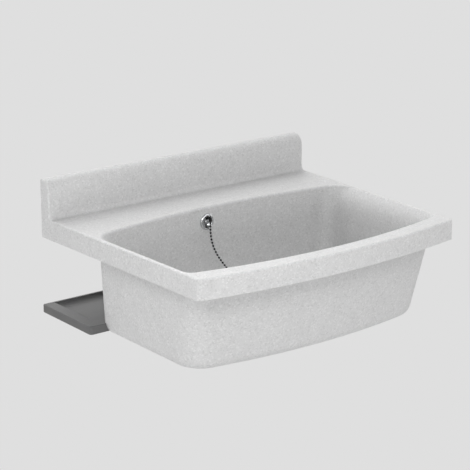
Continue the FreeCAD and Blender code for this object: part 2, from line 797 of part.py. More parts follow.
def plug_set():
    """Rubber plug with its cap, its ring bolt, washer and nut."""
    bore = plug_bolt_radius + fit_gap
    rubber = turned([
        (bore, cone_bottom), (seat_radius(cone_bottom) - plug_clearance, cone_bottom),
        (seat_radius(brim_bottom) - plug_clearance, brim_bottom), (plug_brim_radius, brim_bottom),
        (plug_brim_radius, brim_top), (bore, brim_top)], 0, drain_y)
    cap = turned([
        (bore, brim_top), (plug_cap_radius, brim_top), (plug_cap_radius, brim_top + plug_cap_edge),
        (plug_cap_crown, cap_top), (bore, cap_top)], 0, drain_y)
    washer_base = Vector(0, drain_y, cone_bottom - plug_washer_thickness)
    nut_base = washer_base - UP * plug_nut_height
    bolt_end = nut_base.z - plug_bolt_tail
    collar_top = cap_top + plug_collar_height
    ring_centre = Vector(0, drain_y, plug_ring_z)
    bolt = turned([
        (0, bolt_end), (plug_bolt_radius, bolt_end), (plug_bolt_radius, cap_top),
        (plug_collar_radius, cap_top), (plug_collar_radius * head_crown, collar_top), (0, collar_top)],
        0, drain_y)
    bolt = bolt.fuse(ring_wire(ring_centre, plug_ring_radius, plug_ring_wire))
    nut = prism_nut(plug_nut_flats, 6, plug_nut_height, nut_base)
    return {
        "plug_rubber": rubber,
        "plug_cap": cap,
        "plug_ring_bolt": bolt,
        "plug_washer": ring(plug_washer_radius, bore, plug_washer_thickness, washer_base),
        "plug_nut": nut.cut(rod(bore, plug_nut_height, nut_base)),
        "chain_coupling_lower": chain_coupling(-1, -2, ring_centre, plug_ring_radius, plug_ring_wire),
    }


def chain_coupling(end, neighbour, ring_centre, ring_radius, wire):
    """Clip at one end of the chain: a capsule with a hole that the ring's wire passes through."""
    base = chain_route[end]
    axis = (base - chain_route[neighbour]).normalize()
    tip = base + axis * clip_reach
    body = rod(coupling_radius, clip_reach, base, axis)
    body = body.fuse(Part.makeSphere(coupling_radius, tip)).removeSplitter()
    return body.cut(ring_wire(ring_centre, ring_radius, wire + fit_gap))


def chain_path():
    """Chain's centre line: straight runs joined by tangent arcs as large as the runs allow."""
    edges = []
    start = chain_route[0]
    for before, corner, after in zip(chain_route, chain_route[1:], chain_route[2:]):
        arriving = (corner - before).normalize()
        leaving = (after - corner).normalize()
        turn = arriving.getAngle(leaving)
        reach = 0.45 * min((corner - before).Length, (after - corner).Length)
        radius = reach / math.tan(turn / 2)
        arc_start = corner - arriving * reach
        arc_end = corner + leaving * reach
        inward = (leaving - arriving).normalize()
        middle = corner + inward * (radius / math.cos(turn / 2) - radius)
        edges.append(line(start, arc_start))
        edges.append(arc(arc_start, middle, arc_end))
        start = arc_end
        print("chain bend radius %.1f" % radius)
    edges.append(line(start, chain_route[-1]))
    return Part.Wire(edges)


def plug_chain():
    """Ball chain between the two couplings, as a tube of the balls' diameter."""
    path = chain_path()
    normal = chain_route[1] - chain_route[0]
    circle = Part.Wire([Part.makeCircle(chain_radius, chain_route[0], normal)])
    tube = path.makePipeShell([circle], True, False)
    print("chain length %.1f" % path.Length)
    print("chain volume over section times length %.4f"
          % (tube.Volume / (math.pi * chain_radius ** 2 * path.Length)))
    return tube


def chain_coupling_upper():
    """Clip between the chain and the ring on the rosette."""
    return chain_coupling(0, 1, stay_centre(), stay_ring_radius, stay_wire)


def pipe_joints():
    """Union nuts and seals at both ends of the overflow pipe."""
    down = Vector(0, 0, -1)
    upper_nut, upper_seal = pipe_joint(Vector(overflow_x, -overflow_axis_depth, socket_end_z), down)
    inlet_mouth = Vector(0, drain_y, inlet_z) + pipe_direction * inlet_reach
    lower_nut, lower_seal = pipe_joint(inlet_mouth, pipe_direction)
    return {
        "overflow_nuts": Part.makeCompound([upper_nut, lower_nut]),
        "overflow_seals": Part.makeCompound([upper_seal, lower_seal]),
    }


nodes = {
    "sink_bowl": sink_bowl(),
    "console_tray": console_tray(),
    "console_screws": console_screws(),
    "overflow_rosette": overflow_rosette(),
    "overflow_screw": overflow_screw(),
    "overflow_gasket": overflow_gasket(),
    "overflow_elbow": overflow_elbow(),
    "overflow_pipe": overflow_pipe(),
    "waste_flange": waste_flange(),
    "waste_body": waste_body(),
    "waste_screw": waste_screw(),
    "chain_coupling_upper": chain_coupling_upper(),
    "plug_chain": plug_chain(),
}
for group in (hanger_set(), pipe_joints(), waste_gaskets(), plug_set()):
    nodes.update(group)

os.makedirs("parts", exist_ok=True)
for name, shape in nodes.items():
    shape.exportStep("parts/" + name + ".step")
    print(name, len(shape.Solids), shape.isValid(), round(shape.Volume))
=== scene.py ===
# %% [markdown]
# A white utility sink, dressed in Blender
#
# The sink is a wall-hung bowl with an upstand along its back edge, a bead chain and
# plug, an overflow, and a plastic tray behind the bowl. The solids come from the CAD
# model with their joints. This lesson keeps the solids whose shape is already right,
# gives every one a finish, and works out new surfaces where the real piece has more
# shape than its solid: the bead chain, the screw threads, the pressed metal parts and the
# soft fillets of the tray. Lengths are in metres, in the frame of the CAD model: X to the
# right, Y into the wall, Z up from the top of the sink's deck.

# %% Load the frame
from math import cos, pi, radians, sin

import bmesh
import bpy
import numpy as np
from mathutils import Matrix, Vector


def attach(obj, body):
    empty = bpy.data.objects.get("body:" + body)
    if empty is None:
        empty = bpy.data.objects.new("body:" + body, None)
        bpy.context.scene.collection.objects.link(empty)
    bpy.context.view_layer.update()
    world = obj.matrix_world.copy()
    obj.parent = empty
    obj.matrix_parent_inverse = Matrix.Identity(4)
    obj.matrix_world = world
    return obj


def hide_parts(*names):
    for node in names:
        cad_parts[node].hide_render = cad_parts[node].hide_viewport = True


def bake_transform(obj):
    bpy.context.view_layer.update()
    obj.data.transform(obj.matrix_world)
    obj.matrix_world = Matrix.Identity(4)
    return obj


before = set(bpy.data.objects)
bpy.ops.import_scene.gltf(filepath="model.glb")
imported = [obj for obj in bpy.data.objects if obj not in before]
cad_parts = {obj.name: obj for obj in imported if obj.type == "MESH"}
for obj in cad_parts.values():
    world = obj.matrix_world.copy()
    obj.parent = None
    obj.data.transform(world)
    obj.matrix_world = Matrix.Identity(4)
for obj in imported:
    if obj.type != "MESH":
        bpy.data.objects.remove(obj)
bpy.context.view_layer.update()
scene = bpy.context.scene
print("solids in the frame:", len(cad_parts))

# %% [markdown]
# The camera
#
# A camera is a place, a direction and a focal length. The three axes of this one are
# written out from its azimuth and elevation, because that is easier to read than three
# turns about X, Y and Z: right runs level, back points from the sink to the camera, and up
# is square to both. The far place and the long lens keep the sink's edges nearly parallel.

# %% Place the camera
camera_azimuth = radians(-37.55)
camera_elevation = radians(16.84)
camera_distance = 3.2397
camera_lens, camera_sensor = 135.54, 36
sink_middle = Vector((0, -0.2349, 0))
frame_right, frame_up = -0.02465, -0.03266

right = Vector((cos(camera_azimuth), sin(camera_azimuth), 0))
back = Vector((
    sin(camera_azimuth) * cos(camera_elevation),
    -cos(camera_azimuth) * cos(camera_elevation),
    sin(camera_elevation),
))
up = back.cross(right)

camera_data = bpy.data.cameras.new("camera")
camera_data.sensor_width = camera_sensor
camera_data.lens = camera_lens
camera = bpy.data.objects.new("camera", camera_data)
camera_place = sink_middle + frame_right * right + frame_up * up + camera_distance * back
camera_turn = Matrix((right, up, back)).transposed().to_4x4()
camera.matrix_world = Matrix.Translation(camera_place) @ camera_turn
scene.collection.objects.link(camera)
scene.camera = camera
print("camera at", [round(c, 3) for c in camera_place])

# %% [markdown]
# Surfaces from arrays
#
# Every new piece here is made of grids of points. Numpy works out all points of a grid at
# once from two parameters, one along the rows and one along the columns, and the mesh
# takes the whole array. Each row goes round and closes on itself, so it has no seam. Where
# the edges of two grids meet, or a row shrinks to a point, the points that coincide are
# welded. Edges sharper than the crease angle stay crisp, and all others are shaded smooth.

# %% Turn grids of points into a mesh piece
weld_gap = 1e-6
crease_angle = radians(40)


def grid_faces(rows, columns, first=0):
    """Corner numbers of the quads of a grid whose point (i, j) has number i * columns + j.

    Each quad joins (i, j), (i, j+1), (i+1, j+1) and (i+1, j), and the last column joins
    the first.
    """
    i, j = np.meshgrid(np.arange(rows - 1), np.arange(columns), indexing="ij")
    i, j = i.ravel(), j.ravel()
    row, next_row, k = i * columns, (i + 1) * columns, (j + 1) % columns
    return first + np.stack([row + j, row + k, next_row + k, next_row + j], 1)


def piece_from_grids(name, grids):
    """One welded mesh piece from several grids, each an array of shape (rows, columns, 3).

    An edge that only one face uses is open, and a closed piece has none.
    """
    points, faces, count = [], [], 0
    for grid in grids:
        rows, columns = grid.shape[:2]
        points.append(grid.reshape(-1, 3))
        faces.append(grid_faces(rows, columns, count))
        count += rows * columns
    points, faces = np.concatenate(points), np.concatenate(faces)
    mesh = bpy.data.meshes.new(name)
    mesh.from_pydata(points, [], faces)
    shape = bmesh.new()
    shape.from_mesh(mesh)
    bmesh.ops.remove_doubles(shape, verts=shape.verts, dist=weld_gap)
    shape.to_mesh(mesh)
    shape.free()
    mesh.polygons.foreach_set("use_smooth", np.ones(len(mesh.polygons), bool))
    mesh.set_sharp_from_angle(angle=crease_angle)
    mesh.update()
    edges_used = np.empty(len(mesh.loops), np.int32)
    mesh.loops.foreach_get("edge_index", edges_used)
    open_edges = np.count_nonzero(np.bincount(edges_used) == 1)
    piece = bpy.data.objects.new(name, mesh)
    scene.collection.objects.link(piece)
    print(f"{name}: {len(mesh.vertices)} points, {len(mesh.polygons)} faces, {open_edges} open edges")
    return piece


# %% [markdown]
# The bead chain
#
# A bead chain is a row of hollow balls on short links, so it bends freely and doesn't kink.
# It hangs from the coupling at the overflow, swings into the bowl and ends at the ring of
# the plug. Its line is one NURBS spline that follows the control points of its route. The
# beads are not dozens of spheres but one tube whose radius changes along the line: at each
# bead it follows the circle of the ball, and between two beads it stays at the thin link.

# %% Route of the chain
chain_route = np.array([
    (-0.0156, -0.1389, -0.0282),
    (-0.0155, -0.1385, -0.0488),
    (-0.0149, -0.1436, -0.0705),
    (-0.0132, -0.1575, -0.0910),
    (-0.0105, -0.1805, -0.1075),
    (-0.0072, -0.2086, -0.1259),
    (-0.0039, -0.2370, -0.1425),
    (-0.0009, -0.2658, -0.1568),
])

route_curve = bpy.data.curves.new("chain_route", "CURVE")
route_curve.dimensions = "3D"
route_curve.resolution_u = 24
spline = route_curve.splines.new("NURBS")
spline.points.add(len(chain_route) - 1)
spline.points.foreach_set("co", np.column_stack([chain_route, np.ones(len(chain_route))]).ravel())
spline.order_u = 3
spline.use_endpoint_u = True
route_object = bpy.data.objects.new("chain_route", route_curve)
route_mesh = bpy.data.meshes.new_from_object(route_object)
chain_line = np.empty(len(route_mesh.vertices) * 3)
route_mesh.vertices.foreach_get("co", chain_line)
chain_line = chain_line.reshape(-1, 3)
bpy.data.meshes.remove(route_mesh)
bpy.data.objects.remove(route_object)
bpy.data.curves.remove(route_curve)


def distance_along(line):
    """Distance from the start of a line at each of its points: the sum of the steps so far."""
    steps = np.linalg.norm(np.diff(line, axis=0), axis=1)
    return np.concatenate([[0], np.cumsum(steps)])


# %% Beads along the chain
bead_radius = 0.00205
bead_pitch = 0.0063
link_radius = 0.0004


def full_turn(columns):
    """Angles of a grid's columns round an axis."""
    return np.linspace(0, 2 * pi, columns, endpoint=False)


def bead_tube(line, around=20, per_bead=16):
    """A tube round a line whose radius follows the beads.

    At a distance d from the nearest bead's middle the radius is the root of R^2 - d^2,
    the outline of a ball of radius R, or the radius of the link where that is larger, and
    nothing at the two ends, which closes them. The ring at each place lies across the
    line's direction t: one arm is the X axis less its part along t, the other is t x that
    arm.
    """
    run = distance_along(line)
    beads = round(run[-1] / bead_pitch)
    pitch = run[-1] / beads
    u = np.linspace(0, beads, beads * per_bead + 1)
    centre = np.stack([np.interp(u * pitch, run, line[:, axis]) for axis in range(3)], 1)
    away = (u % 1 - 0.5) * pitch
    radius = np.maximum(np.sqrt(np.maximum(bead_radius**2 - away**2, 0)), link_radius)
    radius[[0, -1]] = 0
    direction = np.gradient(centre, axis=0)
    direction /= np.linalg.norm(direction, axis=1, keepdims=True)
    first = np.array([1.0, 0, 0]) - direction[:, :1] * direction
    first /= np.linalg.norm(first, axis=1, keepdims=True)
    second = np.cross(direction, first)
    v = full_turn(around)[None, :, None]
    ring = np.cos(v) * first[:, None] + np.sin(v) * second[:, None]
    return centre[:, None] + radius[:, None, None] * ring


chain = piece_from_grids("bead_chain", [bead_tube(chain_line)])
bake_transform(chain)
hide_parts("plug_chain")

# %% [markdown]
# Turned and threaded metal
#
# A lathe carries a profile round an axis, so a turned piece is a row of (radius, height)
# pairs times a full turn. A screw thread is the same with one change: the depth of the
# cut depends on the height less the climb of the turn, one pitch for each round. Sizes from
# here to the plug's cap are in millimetres, and the functions turn them to metres.

# %% Lathe and thread
mm = 0.001
forward, upward = np.array([0.0, -1.0, 0.0]), np.array([0.0, 0.0, 1.0])


def about_axis(radius, height, turn, base, axis):
    """Points b + h t + r (cos a e + sin a (t x e)) about the axis t through b, with e along X."""
    radius, height, turn = (part[..., None] for part in np.broadcast_arrays(radius, height, turn))
    first = np.array([1.0, 0.0, 0.0])
    spoke = np.cos(turn) * first + np.sin(turn) * np.cross(axis, first)
    return mm * (np.array(base) + height * axis + radius * spoke)


def lathe(profile, base, axis, columns=128, start=0.0):
    """A profile of (radius, height) pairs, turned about an axis from a first angle."""
    radius, height = np.array(profile, float).T
    return about_axis(radius[:, None], height[:, None], full_turn(columns) + start, base, axis)


def thread(length, radius, cut, pitch, base, axis, point=0.01, columns=40, per_turn=12):
    """A threaded rod: r = R - cut * w, where w runs 0, 1, 0 once in each pitch.

    The wave's phase is h / pitch - a / 2 pi, so the crest climbs one pitch in each turn. The
    flanks are steeper than the wave, which leaves a flat root. Over the length of the point
    the radius grows from a blunt tip, and both ends close on the axis.
    """
    flank, blunt = 1.5, 0.06
    height = np.linspace(0, length, round(length / pitch * per_turn))[:, None]
    height = np.concatenate([height[:1], height, height[-1:]])
    turn = full_turn(columns)
    wave = np.abs(2 * ((height / pitch - turn / (2 * pi)) % 1) - 1)
    rod = radius - cut * np.minimum(flank * wave, 1)
    rod = rod * np.clip(height / point, blunt, 1)
    rod[[0, -1]] = 0
    return about_axis(rod, height, turn, base, axis)


def slotted_head(radius, crown, slot, depth, base, axis, columns=24):
    """A domed screw head h = crown (1 - r^2 / R^2) with a straight slot across it.

    Its rows are chords of the disc at constant b, 2 sqrt(R^2 - b^2) long, so two of them run
    along each wall of the slot. A row goes along the dome and back along a flat underside that
    lies below the slot.
    """
    half, wall, below = slot / 2, 0.02, 0.3
    inside = np.linspace(wall - half, half - wall, 5)
    outside = np.linspace(half, radius, 14)
    b = np.concatenate([-outside[::-1], inside, outside])[:, None]
    across = np.linspace(-1, 1, columns)
    a = np.concatenate([across, across[::-1]]) * np.sqrt(np.maximum(radius**2 - b**2, 0))
    dome = crown * (1 - (a**2 + b**2) / radius**2) - np.where(np.abs(b) < half, depth, 0)
    height = np.where(np.arange(2 * columns) < columns, dome, -depth - below)
    return about_axis(np.hypot(a, b), height, np.arctan2(b, a), base, axis)


def wire_ring(centre, radius, wire, rows=96, columns=48):
    """A torus (-w sin v, (R + w cos v) cos u, (R + w cos v) sin u).

    The wire's circle of radius w is carried round the ring of radius R, whose axis is along X.
    """
    u, v = full_turn(rows)[:, None], full_turn(columns)
    reach = radius + wire * np.cos(v)
    ring = np.broadcast_arrays(-wire * np.sin(v), reach * np.cos(u), reach * np.sin(u))
    ring = np.stack(ring, -1)
    return mm * (np.array(centre) + np.concatenate([ring, ring[:1]]))


# %% [markdown]
# Hanger bolts and console screws
#
# A hanger bolt has a coarse wood thread with a point in the wall, a plain shank, and a fine
# thread that takes the nut. The console screw has the coarse thread and a slotted pan head,
# whose collar is turned and whose dome with the slot is a grid of its own.

# %% Hanger bolts and console screws
hanger_x, hanger_z, hanger_depth = 140, -34, 60
wood_thread, shank_radius = 46, 4.6
console_x, console_z, console_depth, console_seat = 120, -173.5, 45, -4
pan_radius, pan_height, dome_radius = 3.8, 1.9, 3.5
console_depths = (console_depth, console_seat, console_seat - pan_height)
shank_profile = [
    (0, wood_thread), (shank_radius, wood_thread), (shank_radius, hanger_depth), (0, hanger_depth),
]
pan_profile = [
    (0, -6), (2.0, -6), (2.0, 0), (pan_radius, 0), (pan_radius, 1.4), (dome_radius, pan_height),
    (3.45, 0.2), (0, 0.2),
]

bolt_grids, screw_grids = [], []
for side in (-1, 1):
    tip, wall = (hanger_x * side, hanger_depth, hanger_z), (hanger_x * side, 0, hanger_z)
    bolt_grids += [
        thread(length=wood_thread, radius=5.0, cut=1.3, pitch=4.0, base=tip, axis=forward, point=13),
        lathe(shank_profile, tip, forward, columns=40),
        thread(length=32.5, radius=4.8, cut=0.8, pitch=1.5, base=wall, axis=forward),
    ]
    tip, seat, top = ((console_x * side, y, console_z) for y in console_depths)
    screw_grids += [
        thread(length=44, radius=2.25, cut=0.7, pitch=1.8, base=tip, axis=forward, point=6),
        lathe(pan_profile, seat, forward, columns=40),
        slotted_head(radius=dome_radius, crown=1.1, slot=0.9, depth=1.2, base=top, axis=forward),
    ]
bolts = piece_from_grids("hanger_bolt_threads", bolt_grids)
screws = piece_from_grids("console_screw_threads", screw_grids)
for piece, node in ((bolts, "hanger_bolts"), (screws, "console_screws")):
    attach(piece, "sink")
    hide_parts(node)

# %% [markdown]
# The overflow's rosette
#
# The rosette is a pressed dish with a rolled edge. Its height over the wall is the lower of
# two curves, a parabola for the dish and a quarter of an ellipse for the roll, joined by a
# soft minimum so that the crest between them is round. Eight holes let the water in. Each
# one gets its own patch of the dish, a grid whose rows go from a rectangle in radius and
# angle to the circle of the hole. A stay at the top carries the wire ring of the chain.

# %% Rosette with its drain holes
rosette_base = (-19.2, -131.5, -29.2)
rosette_radius, screw_hole = 15.5, 2.1
dish_floor, dish_rise, dish_span = 0.8, 4.0, 13.0
roll_crest, roll_start, roll_width, crest_blend = 4.2, 12.6, 2.9, 0.2
hole_circle, hole_radius, hole_band, holes = 10.4, 1.4, 1.9, 8
stay_place, ring_height = np.array([3.6, 12.2]), 7.4
stay_angle = np.arctan2(stay_place[1], stay_place[0])


def dish_height(radius):
    """Soft minimum -k ln(e^(-d/k) + e^(-e/k)) of the dish d and the rolled edge e, with blend k."""
    dish = dish_floor + dish_rise * (radius / dish_span) ** 2
    past = np.maximum(radius - roll_start, 0) / roll_width
    roll = roll_crest * np.sqrt(np.clip(1 - past**2, 0, 1))
    lower = np.exp(-dish / crest_blend) + np.exp(-roll / crest_blend)
    return np.maximum(-crest_blend * np.log(lower), 0)


def hole_patch(angle, rows=14, columns=64):
    """Flat places (x, z) between a hole at an angle and the edge of its part of the ring.

    A walk at even speed round the unit square is a zigzag, cut off at 1 and -1, and the same
    zigzag a quarter of a turn later. That gives a radius and an angle on the edge, and each
    row is a straight mix of the edge and the circle.
    """
    p = full_turn(columns)
    quarter = 2 * p / pi - np.array([[0], [1]])
    square = np.clip(2 * np.abs(quarter % 4 - 2) - 2, -1, 1)
    reach, turn = hole_circle + hole_band * square[0], angle + pi / holes * square[1]
    edge = np.stack([reach * np.cos(turn), reach * np.sin(turn)], 1)
    circle = np.stack([
        hole_circle * cos(angle) + hole_radius * np.cos(p + angle),
        hole_circle * sin(angle) + hole_radius * np.sin(p + angle),
    ], 1)
    share = np.linspace(0, 1, rows)[:, None, None]
    return edge * (1 - share) + circle * share


def on_rosette(flat, height):
    """Points of the rosette at flat places (x, z) and heights over the wall."""
    x, z = flat[..., 0], flat[..., 1]
    return about_axis(np.hypot(x, z), height, np.arctan2(z, x), rosette_base, forward)


dish_edge, dish_rim = hole_circle - hole_band, hole_circle + hole_band
inward = np.linspace(dish_edge, screw_hole, 40)
middle = np.vstack([np.column_stack([inward, dish_height(inward)]), [(screw_hole, 0), (dish_edge, 0)]])
roll_foot, roll_top = np.linspace(rosette_radius, 15.2, 12), np.linspace(15.1, dish_rim, 40)
outward = np.concatenate([roll_foot, roll_top])
rim = np.vstack([[(dish_rim, 0), (rosette_radius, 0)], np.column_stack([outward, dish_height(outward)])])
rosette_grids = [lathe(profile, rosette_base, forward, start=stay_angle) for profile in (middle, rim)]
for k in range(holes):
    patch = hole_patch(stay_angle + 2 * pi * (k + 0.5) / holes)
    front = on_rosette(patch, dish_height(np.hypot(patch[..., 0], patch[..., 1])))
    behind = on_rosette(patch, 0)
    rosette_grids += [front, behind[::-1], np.stack([front[-1], behind[-1]])]

stay_base = np.array(rosette_base) + (stay_place[0], 0, stay_place[1])
stay_profile = [(0, 0), (2.0, 0), (2.0, 3.6), (1.8, 4.1), (1.2, 4.5), (0, 4.6)]
rosette_grids += [
    lathe(stay_profile, stay_base, forward, columns=48),
    wire_ring(stay_base + ring_height * forward, radius=3.2, wire=1.0),
]
rosette = piece_from_grids("dished_rosette", rosette_grids)
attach(rosette, "sink")
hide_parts("overflow_rosette")

# %% Screw in the rosette
screw_seat, screw_length = 1.2, 13.7
screw_base = np.array(rosette_base) + screw_seat * forward
screw_tip = screw_base - screw_length * forward
shank = thread(length=13.6, radius=2.0, cut=0.4, pitch=0.8, base=screw_tip, axis=forward)
head = slotted_head(radius=4.0, crown=1.0, slot=1.0, depth=0.8, base=screw_base, axis=forward)
rosette_screw = piece_from_grids("rosette_screw", [shank, head])
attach(rosette_screw, "sink")
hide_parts("overflow_screw")

# %% [markdown]
# The tray's hollow
#
# The hollow of the tray is moulded with a wide, soft fillet from its floor to its walls, so
# the light falls off slowly towards the back. Each fillet is a profile carried along a path:
# a quarter of an ellipse with a back that is hidden in the walls goes along the end wall,
# round the corner and along the back wall, and shrinks to nothing before the console screw.

# %% Fillets in the tray's hollow
hollow_end, hollow_back, hollow_front, hollow_floor = 272.0, -4.0, -127.0, -179.5
hollow_lean = 0.6
fillet_reach, fillet_rise, fillet_sunk, fillet_tuck = 15.0, 9.6, 1.5, 1.0
fillet_stop, fillet_fade = 140.0, 0.4


def hollow_fillet(side, rows=24, columns=18):
    """The fillet at the right end for side 1 and at the left end for side -1.

    A profile point lies o in from the walls and h over the floor, with o = a (1 - sin q) and
    h = b (1 - cos q) on the quarter ellipse of reach a and rise b. Its path runs along the end
    wall, which leans out with the height, turns on an arc of radius o, and follows the back
    wall. On the last part of it o and h shrink by 1 - 3 t^2 + 2 t^3.
    """
    q = np.linspace(0, pi / 2, columns)
    out = [*fillet_reach * (1 - np.sin(q)), -fillet_sunk, -fillet_sunk, fillet_reach]
    rise = [*fillet_rise * (1 - np.cos(q)), fillet_rise - fillet_tuck, -fillet_sunk, -fillet_sunk]
    out, rise = np.array(out), np.array(rise)
    u = np.linspace(0, 1, rows)[:, None]
    bend = np.maximum(out, 0)
    end, back = hollow_end + hollow_lean * rise - out, hollow_back - out
    start, swing = end - bend, u * pi / 2
    t = np.clip((u - 1) / fillet_fade + 1, 0, 1)
    shrink = 1 - 3 * t**2 + 2 * t**3
    legs = (
        (end, hollow_front + (back - bend - hollow_front) * u, rise),
        (start + bend * np.cos(swing), back - bend + bend * np.sin(swing), rise),
        (start + (fillet_stop - start) * u, hollow_back - out * shrink, rise * shrink),
    )
    run = np.concatenate([np.stack(np.broadcast_arrays(*leg), -1) for leg in legs])
    first = run[:1]
    run = np.concatenate([np.broadcast_to(first.mean(1, keepdims=True), first.shape), run])
    fillet = mm * (run * (side, 1, 1) + (0, 0, hollow_floor))
    return fillet[::side]


tray_fillets = piece_from_grids("tray_fillets", [hollow_fillet(-1), hollow_fillet(1)])
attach(tray_fillets, "sink")

# %% [markdown]
# The plug's cap
#
# The cap is a pressed dome with a rolled edge and a flat seat for the ring's collar. Its
# height falls from the seat by a fourth power of the radius, so the middle stays flat and
# the fall grows towards the edge.

# %% Plug cap
cap_base = (0, -282, -178.2)
cap_radius, cap_hole, cap_height = 24.0, 3.1, 2.5
cap_dome, dome_fall, seat_radius = 23.9, 1.1, 5.5
edge_round, edge_lift = 0.6, 0.75

edge_turn = np.linspace(0, pi / 2, 10)
rolled_edge = np.column_stack([
    cap_radius - edge_round + edge_round * np.cos(edge_turn),
    edge_lift + edge_round * np.sin(edge_turn),
])
dome = np.linspace(cap_dome, seat_radius, 60)
dome = np.column_stack([dome, cap_height - dome_fall * (dome / cap_dome) ** 4])[2:]
underside, bore = [(cap_hole, 0), (cap_radius, 0)], [(cap_hole, cap_height), (cap_hole, 0)]
cap_profile = np.vstack([underside, rolled_edge, dome, bore])
cap = piece_from_grids("domed_plug_cap", [lathe(cap_profile, cap_base, upward)])
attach(cap, "plug")
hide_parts("plug_cap")

# %% [markdown]
# Finishes
#
# A finish starts from what the material is and how its surface was made. All patterns
# read Object coordinates, which here are metres in the sink's frame, so a grain of 3 mm
# needs the scale 1000 / 3. Colours are written as sRGB hex values and turned to the linear
# light that the renderer works in.

# %% Helpers for materials
def linear(hex_code):
    """An sRGB hex value as linear red, green, blue and alpha.

    A channel c up to 0.04045 is c / 12.92, and above that ((c + 0.055) / 1.055) ^ 2.4.
    """
    channel = np.array([int(hex_code[k:k + 2], 16) for k in (0, 2, 4)]) / 255
    light = np.where(channel <= 0.04045, channel / 12.92, ((channel + 0.055) / 1.055) ** 2.4)
    return (*light.tolist(), 1.0)


def per_mm(size):
    """The texture scale at which one feature is about this many millimetres wide."""
    return 1000 / size


def add(material, kind, inputs=(), **settings):
    """Add one shader node: settings are its properties, inputs its sockets' values or links."""
    node = material.node_tree.nodes.new("ShaderNode" + kind)
    for name, value in settings.items():
        setattr(node, name, value)
    for socket, value in dict(inputs).items():
        if isinstance(value, bpy.types.NodeSocket):
            material.node_tree.links.new(value, node.inputs[socket])
        else:
            node.inputs[socket].default_value = value
    return node


def new_finish(name):
    """An empty material and the socket of its object coordinates."""
    material = bpy.data.materials.new(name)
    material.use_nodes = True
    material.node_tree.nodes.clear()
    return material, add(material, "TexCoord").outputs["Object"]


def dress(material, *nodes):
    """Give a finish to CAD nodes by name, and to new pieces by object."""
    for node in nodes:
        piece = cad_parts[node] if isinstance(node, str) else node
        piece.data.materials.clear()
        piece.data.materials.append(material)
    print(material.name, "on", len(nodes), "pieces")


# %% [markdown]
# White mineral composite
#
# The sink is cast from fine white quartz grit in a clear resin and leaves its mould with
# a silky, faintly pebbled skin. Close up the colour isn't one white: single grains are
# lighter or greyer than the resin round them. The grains are the cells of a random cell
# pattern, each with its own grey, over a slow cloud of the mix. Real grit is under a
# millimetre, and it is drawn at 2.6 so that it shows at the size of the render.

# %% White mineral composite
composite, place = new_finish("white_mineral_composite")
grit = add(composite, "TexVoronoi", {"Vector": place, "Scale": per_mm(2.6)})
grain = add(composite, "SeparateColor", {"Color": grit.outputs["Color"]})
cloud = add(composite, "TexNoise", {"Vector": place, "Scale": per_mm(22), "Detail": 4.0, "Roughness": 0.55})
fleck = add(composite, "ValToRGB", {"Fac": grain.outputs["Red"]})
fleck.color_ramp.elements[0].color = linear("C3C3C3")
fleck.color_ramp.elements[1].color = linear("DBDBDB")
for share, grey in ((0.2, "CDCDCD"), (0.5, "CFCFCF"), (0.8, "D1D1D1")):
    fleck.color_ramp.elements.new(share).color = linear(grey)
drift = add(composite, "ValToRGB", {"Fac": cloud.outputs["Fac"]})
drift.color_ramp.elements[0].position, drift.color_ramp.elements[0].color = 0.3, linear("FAFAFA")
drift.color_ramp.elements[1].position, drift.color_ramp.elements[1].color = 0.7, linear("FFFFFF")
tint = add(composite, "MixRGB", {
    "Fac": 1.0, "Color1": fleck.outputs["Color"], "Color2": drift.outputs["Color"],
}, blend_type="MULTIPLY")
matt = add(composite, "MapRange", {"Value": grain.outputs["Green"], "To Min": 0.42, "To Max": 0.56})
pebble = add(composite, "TexNoise", {"Vector": place, "Scale": per_mm(2.0), "Detail": 2.0})
skin = add(composite, "Bump", {"Height": pebble.outputs["Fac"], "Strength": 0.12, "Distance": 0.0006})
surface = add(composite, "BsdfPrincipled", {
    "Base Color": tint.outputs["Color"], "Roughness": matt.outputs["Result"], "IOR": 1.5,
    "Normal": skin.outputs["Normal"],
})
add(composite, "OutputMaterial", {"Surface": surface.outputs["BSDF"]})
dress(composite, "sink_bowl")

# %% [markdown]
# Dark grey moulded plastic
#
# The tray is a moulded polypropylene console with an eroded, matt texture, which scatters
# the light in tiny pits and keeps little gloss. Two noises give it: a fine one for the pits
# and a slow one for the flow of the melt, which shows as a slight change of gloss. Real pits
# are a few tenths of a millimetre wide, and they are drawn at 1.4 so that they show.

# %% Dark grey moulded plastic
grey_plastic, place = new_finish("moulded_grey_polypropylene")
pits = add(grey_plastic, "TexNoise", {"Vector": place, "Scale": per_mm(1.4), "Detail": 3.0})
flow = add(grey_plastic, "TexNoise", {"Vector": place, "Scale": per_mm(60), "Detail": 2.0, "Distortion": 0.6})
shade = add(grey_plastic, "ValToRGB", {"Fac": flow.outputs["Fac"]})
shade.color_ramp.elements[0].position, shade.color_ramp.elements[0].color = 0.3, linear("646465")
shade.color_ramp.elements[1].position, shade.color_ramp.elements[1].color = 0.7, linear("6B6B6A")
gloss = add(grey_plastic, "MapRange", {"Value": flow.outputs["Fac"], "To Min": 0.48, "To Max": 0.62})
texture = add(grey_plastic, "Bump", {"Height": pits.outputs["Fac"], "Strength": 0.2, "Distance": 0.0003})
surface = add(grey_plastic, "BsdfPrincipled", {
    "Base Color": shade.outputs["Color"], "Roughness": gloss.outputs["Result"], "IOR": 1.49,
    "Specular IOR Level": 0.25, "Normal": texture.outputs["Normal"],
})
add(grey_plastic, "OutputMaterial", {"Surface": surface.outputs["BSDF"]})
dress(grey_plastic, "console_tray", tray_fillets)

# %% [markdown]
# Chrome
#
# The rosette and its screw, the plug's cap and its ring are brass with bright chrome plate.
# Chrome mirrors its surroundings, so nearly all it shows is the studio. Buffing leaves a
# faint waviness, which breaks up the mirror image a little.

